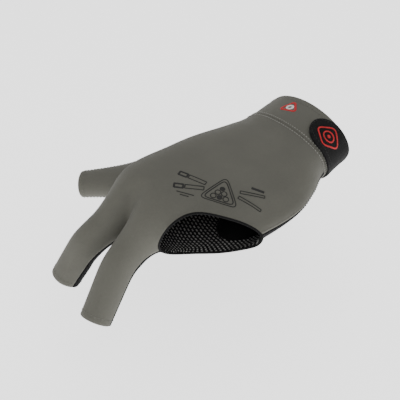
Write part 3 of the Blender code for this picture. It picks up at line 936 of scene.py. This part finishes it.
def area_light(name, place, aim, size, power):
    """A square soft light that faces a point."""
    data = bpy.data.lights.new(name, "AREA")
    data.size = size
    data.energy = power
    light = bpy.data.objects.new(name, data)
    bpy.context.scene.collection.objects.link(light)
    light.location = place
    light.rotation_euler = (Vector(aim) - Vector(place)).to_track_quat("-Z", "Y").to_euler()


def make_stage(lowest):
    """A wide pale floor under the glove, an even pale sky and three soft lights."""
    half = 6.0
    corners = np.array(((-half, -half), (half, -half), (half, half), (-half, half)))
    points = np.c_[corners, np.full(4, lowest - FLOOR_DROP)]
    material, _, _ = new_material(
        "floor", (0.93, 0.93, 0.93), 0.9, Specular_IOR_Level=0.0,
        Emission_Color=(1, 1, 1, 1), Emission_Strength=FLOOR_GLOW,
    )
    floor = link("floor", mesh_from("floor", points, np.array(((0, 1, 2, 3),))), [material])
    world = bpy.data.worlds.new("sky")
    world.use_nodes = True
    world.node_tree.nodes["Background"].inputs["Color"].default_value = (1, 1, 1, 1)
    world.node_tree.nodes["Background"].inputs["Strength"].default_value = SKY
    bpy.context.scene.world = world
    area_light("key", (0.35, 0.55, 0.9), (0.08, 0, 0), 0.7, KEY_POWER)
    area_light("fill", (0.9, -0.35, 0.5), (0.08, 0, 0), 0.9, FILL_POWER)
    area_light("top", (-0.3, -0.2, 1.1), (0.08, 0, 0), 0.9, TOP_POWER)


FLOOR_DROP = 0.05
SKY = 0.58
KEY_POWER = 2.8
FILL_POWER = 1.3
TOP_POWER = 1.8
FLOOR_GLOW = 1.6


make_camera()
make_stage(cad_box[0].z)

cage, hand = sleeve_cage()
sleeve = fine_sleeve(cage)

gray_knit = knit("gray_stretch_knit", GRAY, 0.00062, 0.00055, 0.10, 0.25, 0.06)
gray_inside = knit("gray_knit_inside", tuple(c * 0.8 for c in GRAY),
                   0.0007, 0.0006, 0.12, 0.4, 0.1)
cuff_knit = knit("cuff_stretch_knit", GRAY, 0.00070, 0.00048, 0.09, 0.22, 0.06)
black_outside = mesh_cloth("black_mesh_outside", MESH_OUTSIDE, BLACK)
# Inner face: its pale bars are painted light seen through the mesh's holes
black_inside_painted_light = mesh_cloth("black_mesh_inside_painted_light", MESH_INSIDE_PAINTED_LIGHT, BLACK)
strap_nap = napped("black_strap_nap", STRAP_BLACK, 1500.0, 0.5)
patch_suede = napped("black_patch_suede", PATCH_BLACK, 2400.0, 0.3)
edge_tape = plain_thread("black_edge_tape", TAPE_BLACK, 0.0)
seam_thread = plain_thread("gray_seam_thread", GRAY_THREAD)
gray_thread = plain_thread("gray_thread", QUIET_THREAD)
dark_thread = plain_thread("black_thread", DARK_THREAD)
strap_thread = plain_thread("strap_thread", STRAP_THREAD)
charcoal_ink = print_ink("charcoal_print", CHARCOAL)
red_ink = print_ink("red_print", RED)
white_ink = print_ink("white_print", WHITE)


def worn(obj, slot, *nodes):
    """The piece rides with the glove and stands for its solids, which it hides; the slot is not
    used.
    """
    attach(obj, "root")
    if nodes:
        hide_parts(*nodes)
    return obj


# Cloth, wall, piece, outer and inner finish, slot, node, and the flat cut's width and length
# in metres. On the hand the knit is stretched
for cloth, wall, name, outer, inner, slot, solid, flat in (
    (BACK, CLOTH, "back_cloth", gray_knit, gray_inside, "gray_cloth", "back_panel",
     (0.115, 0.200)),
    (PALM, CLOTH, "palm_cloth", black_outside, black_inside_painted_light, "black_mesh", "palm_panel",
     (0.130, 0.200)),
    (THUMB, CLOTH, "thumb_cloth", gray_knit, gray_inside, "gray_cloth", "thumb_back",
     (0.035, 0.080)),
    (CUFF, CUFF_CLOTH, "cuff_cloth", cuff_knit, gray_inside, "cuff_cloth", "cuff_band",
     (0.160, 0.0255)),
):
    piece = worn(cloth_piece(sleeve, cloth, wall, name, outer, inner), slot, solid)


# Wrist strap: a rounded section carried round the cuff, with a D-shaped end on the back
STRAP_ENDS = (60, -112)
STRAP_MARGIN = 0.0012
STRAP_ROUNDING = 0.17


def wrist_column(degrees):
    """The column at which the wrist's ring has those degrees."""
    return np.interp(-np.asarray(degrees, float), -COLUMNS[:, 0], np.arange(AROUND))


def strap_surface(share, across, height):
    """Points over the cuff: share along the strap, across from -1 to 1, and height off it."""
    rounding = np.clip(1 - share / STRAP_ROUNDING, 0, 1)
    half = (CUFF_ROWS / 2 - STRAP_MARGIN / CUFF_LENGTH * CUFF_ROWS) * np.sqrt(
        np.maximum(1 - rounding**2.4, 0)
    )
    row = CUFF_ROWS / 2 + half * across
    col = wrist_column(lerp(STRAP_ENDS[0], STRAP_ENDS[1], share))
    point, normal, _, _ = on_sleeve(hand, row, col)
    return point + normal * height[..., None], normal


def strap_piece():
    """A closed section, flat below and with rounded shoulders, swept along the strap."""
    turn = np.linspace(0, math.pi / 2, 12)
    stations = np.concatenate(
        (STRAP_ROUNDING * (1 - np.cos(turn)) + 0.0008, np.linspace(STRAP_ROUNDING, 1, 90)[1:])
    )[:, None]
    corner = np.linspace(0, 2 * math.pi, 56, endpoint=False)[None]
    across = rounded(np.cos(corner), 0.28)
    lift = rounded(np.sin(corner), 0.5)
    end = np.clip((1 - stations) / 0.012, 0, 1) * np.clip(stations / 0.006, 0.25, 1)
    height = STRAP_LIFT + STRAP_CLOTH * (0.5 + 0.5 * lift * np.sqrt(np.clip(end, 0.1, 1)))
    points, _ = strap_surface(stations, across, height)
    return joined("strap_band", [capped(points)], strap_nap)


strap = worn(strap_piece(), "strap_webbing", "wrist_strap")


def strap_line(inset):
    """A stitching run along the strap's edge, a set share inside it."""
    share = np.concatenate((
        np.linspace(1 - inset * 0.1, STRAP_ROUNDING, 80),
        STRAP_ROUNDING * (1 - np.sin(np.linspace(0, math.pi / 2, 14))[1:]) + 0.012,
    ))
    across = np.full(share.shape, 1 - inset)
    top = np.full(share.shape, STRAP_TOP)
    upper, upper_normal = strap_surface(share, across, top)
    lower, lower_normal = strap_surface(share[::-1], -across, top)
    return np.concatenate((upper, lower)), np.concatenate((upper_normal, lower_normal)), False


worn(stitches("strap_stitches", [strap_line(0.24)], strap_thread, 0.0021, 0.7, 0.00015),
     "strap_webbing")


# Stitching of the cuff: two rows beside its seam and one at its hem
def cuff_run(row):
    """A closed run of stitches round the sleeve, along one of its rows."""
    col = np.linspace(0, AROUND, 240)[:-1]
    point, normal, _, _ = on_sleeve(hand, np.full_like(col, row), col)
    return point + normal * folds(point)[:, None], normal, True


worn(stitches("cuff_seam_stitches", [cuff_run(2.80), cuff_run(3.14)], seam_thread,
              0.0019, 0.86, 0.00033), "cuff_cloth")
worn(stitches("cuff_hem_stitches", [cuff_run(0.42)], gray_thread, 0.0021, 0.75, 0.0002),
     "cuff_cloth")


def label_line(cloth, axis, value, low, high, inset, step=1 / 2**FINENESS):
    """A run along a line of equal row (axis 0) or column (axis 1) of a cloth.

    It picks the fine points that carry that label, in order of the other label, and moves
    them a set distance towards their neighbours one step further in.
    """
    mine = sleeve["cloths"] == cloth
    label = sleeve["label"][mine].reshape(-1, 2)
    number = sleeve["faces"][mine].ravel()

    def picked(at):
        on = (np.abs(label[:, axis] - at) < 1e-3) & (label[:, 1 - axis] > low - 1e-3)
        on &= label[:, 1 - axis] < high + 1e-3
        _, first = np.unique(np.round(label[on, 1 - axis], 4), return_index=True)
        return number[on][first]

    line, beside = picked(value), picked(value + step)
    if len(line) != len(beside):
        beside = line
    points, normals = sleeve["points"][line], sleeve["normals"][line]
    inward = sleeve["points"][beside] - points
    return points + unit(inward) * inset + normals * folds(points)[:, None], normals


END_ROW = LAST_ROW + len(FINGER_RINGS)
THUMB_END = len(THUMB_RINGS)
THUMB_STEPS = 100
THUMB_SPLIT = 109
FINE = 1 / 2**FINENESS
SEAM_INSET = 0.0016


def runs(*lines):
    """Open stitch runs from label lines."""
    return [(*label_line(*line), False) for line in lines]


worn(stitches("back_seam_stitches", runs(
    (BACK, 1, 0, CUFF_ROWS + 0.2, END_ROW, SEAM_INSET),
    (BACK, 1, SIDE_COLUMN, CUFF_ROWS + 0.2, LAST_ROW, SEAM_INSET, -FINE),
    (BACK, 0, END_ROW - 0.25, 0, 3.95, 0),
    (BACK, 0, END_ROW - 0.25, 4.05, 8, 0),
), gray_thread, 0.0023, 0.7, 0.00018), "gray_cloth")
worn(stitches("thumb_seam_stitches", runs(
    (THUMB, 1, THUMB_STEPS, 1, THUMB_END, SEAM_INSET, FINE),
    (THUMB, 1, THUMB_SPLIT, 1, THUMB_END, SEAM_INSET, -FINE),
    (THUMB, 0, 1, THUMB_STEPS, THUMB_SPLIT, SEAM_INSET, FINE),
    (THUMB, 0, THUMB_END - 0.25, THUMB_STEPS, THUMB_SPLIT, 0),
), gray_thread, 0.0023, 0.7, 0.00018), "gray_cloth")
worn(stitches("palm_seam_stitches", runs(
    (PALM, 1, SIDE_COLUMN, CUFF_ROWS + 0.2, LAST_ROW, SEAM_INSET, FINE),
    (PALM, 1, AROUND, CUFF_ROWS + 0.2, CUFF_ROWS + THUMB_ROWS[0], SEAM_INSET, -FINE),
    (PALM, 1, AROUND, CUFF_ROWS + THUMB_ROWS[1], END_ROW, SEAM_INSET, -FINE),
    (PALM, 0, END_ROW - 0.25, 16, 19.95, 0),
    (PALM, 0, END_ROW - 0.25, 20.05, AROUND, 0),
    (PALM, 0, THUMB_END - 0.25, THUMB_SPLIT, THUMB_STEPS + 16, 0),
    (PALM, 0, 1, THUMB_STEPS, THUMB_STEPS + 16, SEAM_INSET, -FINE),
), dark_thread, 0.0023, 0.7, 0.00018), "black_mesh")


# Rolled tape along the opening's rim
TAPE_REACH = 0.00035
TAPE_HALF_WIDTH = 0.00065
TAPE_HALF_HEIGHT = 0.00078


def tape_piece():
    """An oval section carried round the rim, a set reach off the cloth's middle line."""
    lines = [
        label_line(BACK, 0, LAST_ROW, 8, SIDE_COLUMN, -TAPE_REACH, -1 / 8),
        label_line(BACK, 1, 8, LAST_ROW, LAST_ROW + 1, -TAPE_REACH, -1 / 8),
        label_line(PALM, 0, LAST_ROW + 1, SIDE_COLUMN, SIDE_COLUMN + 4, -TAPE_REACH, -1 / 8),
        label_line(PALM, 1, SIDE_COLUMN, LAST_ROW, LAST_ROW + 1, -TAPE_REACH),
    ]
    (back_rim, n0), (finger, n1), (palm_rim, n2), (side, n3) = lines
    path = np.concatenate((back_rim[::-1], finger[1:], palm_rim[::-1][1:], side[::-1][1:-1]))
    up = np.concatenate((n0[::-1], n1[1:], n2[::-1][1:], n3[::-1][1:-1]))
    path = path - up * CLOTH / 2
    for _ in range(6):
        path = (np.roll(path, 1, 0) + 2 * path + np.roll(path, -1, 0)) / 4
        up = (np.roll(up, 1, 0) + 2 * up + np.roll(up, -1, 0)) / 4
    side, up = across_and_up(unit(np.roll(path, -1, 0) - np.roll(path, 1, 0)), up)
    turn = np.arange(14) / 14 * 2 * math.pi
    points = (
        path[:, None]
        + side[:, None] * np.cos(turn)[None, :, None] * TAPE_HALF_WIDTH
        + up[:, None] * np.sin(turn)[None, :, None] * TAPE_HALF_HEIGHT
    )
    faces = outward(points, swept(points, True))
    return joined("rim_tape", [(points, faces)], edge_tape)


worn(tape_piece(), "edge_tape", "opening_binding")


# Patch inside the palm
PATCH_CENTRE = (0.62, -62)
PATCH_LENGTH = 0.046
PATCH_BREADTH = 0.032


def patch_piece():
    """An oval pad under the palm's inner face: thickness falls to nothing at its edge."""
    rings = np.concatenate((np.linspace(0.02, 0.93, 16), (0.97, 1.0)))[:, None]
    turn = (np.arange(72) / 72 * 2 * math.pi)[None]
    u, v = rings * np.cos(turn), rings * np.sin(turn)
    half_turn = math.degrees(PATCH_BREADTH / PALM_BREADTH)
    share = PATCH_CENTRE[0] + u * PATCH_LENGTH / 2 / HAND_LENGTH
    degrees = PATCH_CENTRE[1] + v * half_turn
    row, col = hand_place(share, degrees, PATCH_CENTRE[0])
    point, normal, _, _ = on_sleeve(hand, row, col)
    point = point + normal * folds(point)[..., None]
    edge = np.sqrt(np.clip(1 - rings**10, 0, 1))[..., None]
    near = point - normal * (CLOTH + GAP * 1.4)
    far = near - normal * PATCH_CLOTH * edge
    points = np.concatenate((far, near[::-1][1:]))
    return joined("grip_patch", [capped(points)], patch_suede)


patch = worn(patch_piece(), "grip_patch", "palm_patch")


# Marks: crossed cues behind a rack of balls on the back, a ball in a lozenge on the strap,
# and a rack with one ball on the cuff
def straight(x0, y0, x1, y1, count=60):
    """A straight run of points from one place to another."""
    t = np.linspace(0, 1, count)[:, None]
    return (1 - t) * np.array((x0, y0)) + t * np.array((x1, y1))


def disc(x, y, radius):
    """A filled disc: a ring at half the radius, as wide as the radius."""
    return circle(x, y, radius * 0.53), radius * 0.98, True


def cue_part(start, end, angle, rise):
    """The outline of a stretch of a tapered cue that leans through (0, rise), as a closed path.

    start and end are distances from there along the cue, whose butt is at the left.
    """
    t = np.linspace(start, end, 40)
    half = lerp(0.0014, 0.0007, (t + 0.026) / 0.052)
    upper = np.stack((t, half), axis=-1)
    lower = np.stack((t[::-1], -half[::-1]), axis=-1)
    turn = math.radians(angle)
    turned = np.array(((math.cos(turn), math.sin(turn)), (-math.sin(turn), math.cos(turn))))
    return np.concatenate((upper, lower)) @ turned + np.array((0, rise))


def rack(radius, drop=0.0):
    """The corners of a triangle that stands on its side, moved down by a drop."""
    turns = [math.radians(a) for a in (90, 210, 330)]
    return [(radius * math.cos(t), radius * math.sin(t) - drop) for t in turns]


def back_print():
    """Line drawing: two crossed cues behind a rounded rack of six balls, and short rails."""
    line, fine_line = 0.00065, 0.00055
    lines = []
    for angle in (11, -11):
        lines.append((cue_part(-0.0265, -0.0215, angle, 0.0012), 0.0011, True))
        lines.append((cue_part(-0.0205, -0.0100, angle, 0.0012), fine_line, True))
        lines.append((cue_part(0.0100, 0.0240, angle, 0.0024), fine_line, True))
    for grow, width in ((0.0106, line), (0.0130, fine_line)):
        lines.append((corners_rounded(rack(grow, 0.0008), grow * 0.35, 12), width, True))
    radius, pitch = 0.00155, 0.0036
    for rank in range(3):
        for n in range(3 - rank):
            x = (n - (2 - rank) / 2) * pitch
            y = -0.0037 + rank * pitch * 0.87
            filled = (rank, n) in ((0, 1), (2, 0))
            lines.append(disc(x, y, radius) if filled else (circle(x, y, radius), fine_line, True))
    for x0, x1, y, width in (
        (0.0150, 0.0225, 0.0098, 0.0016), (-0.0235, -0.0135, -0.0076, line),
        (-0.0210, -0.0160, -0.0094, line),
    ):
        lines.append((straight(x0, y, x1, y, 24), width, False))
    return lines


def lozenge(radius, bend):
    """A square stood on its corner, with rounded corners."""
    return corners_rounded([(radius, 0), (0, radius), (-radius, 0), (0, -radius)], bend, 10)


# Where each mark lies, how far it is turned, in degrees, and how high its ink stands
PRINT_PLACE = (0.805, 75.0)
PRINT_TURN = 128
PRINT_HEIGHT = 0.00022
MARK_TURN = 99
MARK_HEIGHT = 0.0003
BADGE_ROW, BADGE_DEGREES = 1.52, 33.5
CUFF_MARK_ROW, CUFF_MARK_DEGREES = 1.30, 94.8
RACK_RADIUS = 0.0068

worn(printed("back_print", hand, *hand_place(*PRINT_PLACE), PRINT_TURN, back_print(),
             PRINT_HEIGHT, charcoal_ink), "gray_cloth")

badge_lines = [
    (lozenge(0.0087, 0.0034), 0.00095, True),
    (circle(0, 0, 0.0035), 0.0009, True),
    disc(0, 0, 0.0011),
]
badge_place = BADGE_ROW, float(wrist_column(BADGE_DEGREES))
worn(printed("strap_badge", hand, *badge_place, MARK_TURN, badge_lines, MARK_HEIGHT, red_ink,
             STRAP_TOP), "strap_webbing")

cuff_place = CUFF_MARK_ROW, float(wrist_column(CUFF_MARK_DEGREES))
rack_lines = [(corners_rounded(rack(RACK_RADIUS), 0.0030, 12), 0.0015, True)]
ball_lines = [(circle(0, 0, 0.0019), 0.0015, True)]
worn(printed("cuff_mark_rack", hand, *cuff_place, MARK_TURN, rack_lines, MARK_HEIGHT, red_ink),
     "cuff_cloth")
worn(printed("cuff_mark_ball", hand, *cuff_place, MARK_TURN, ball_lines, MARK_HEIGHT, white_ink),
     "cuff_cloth")
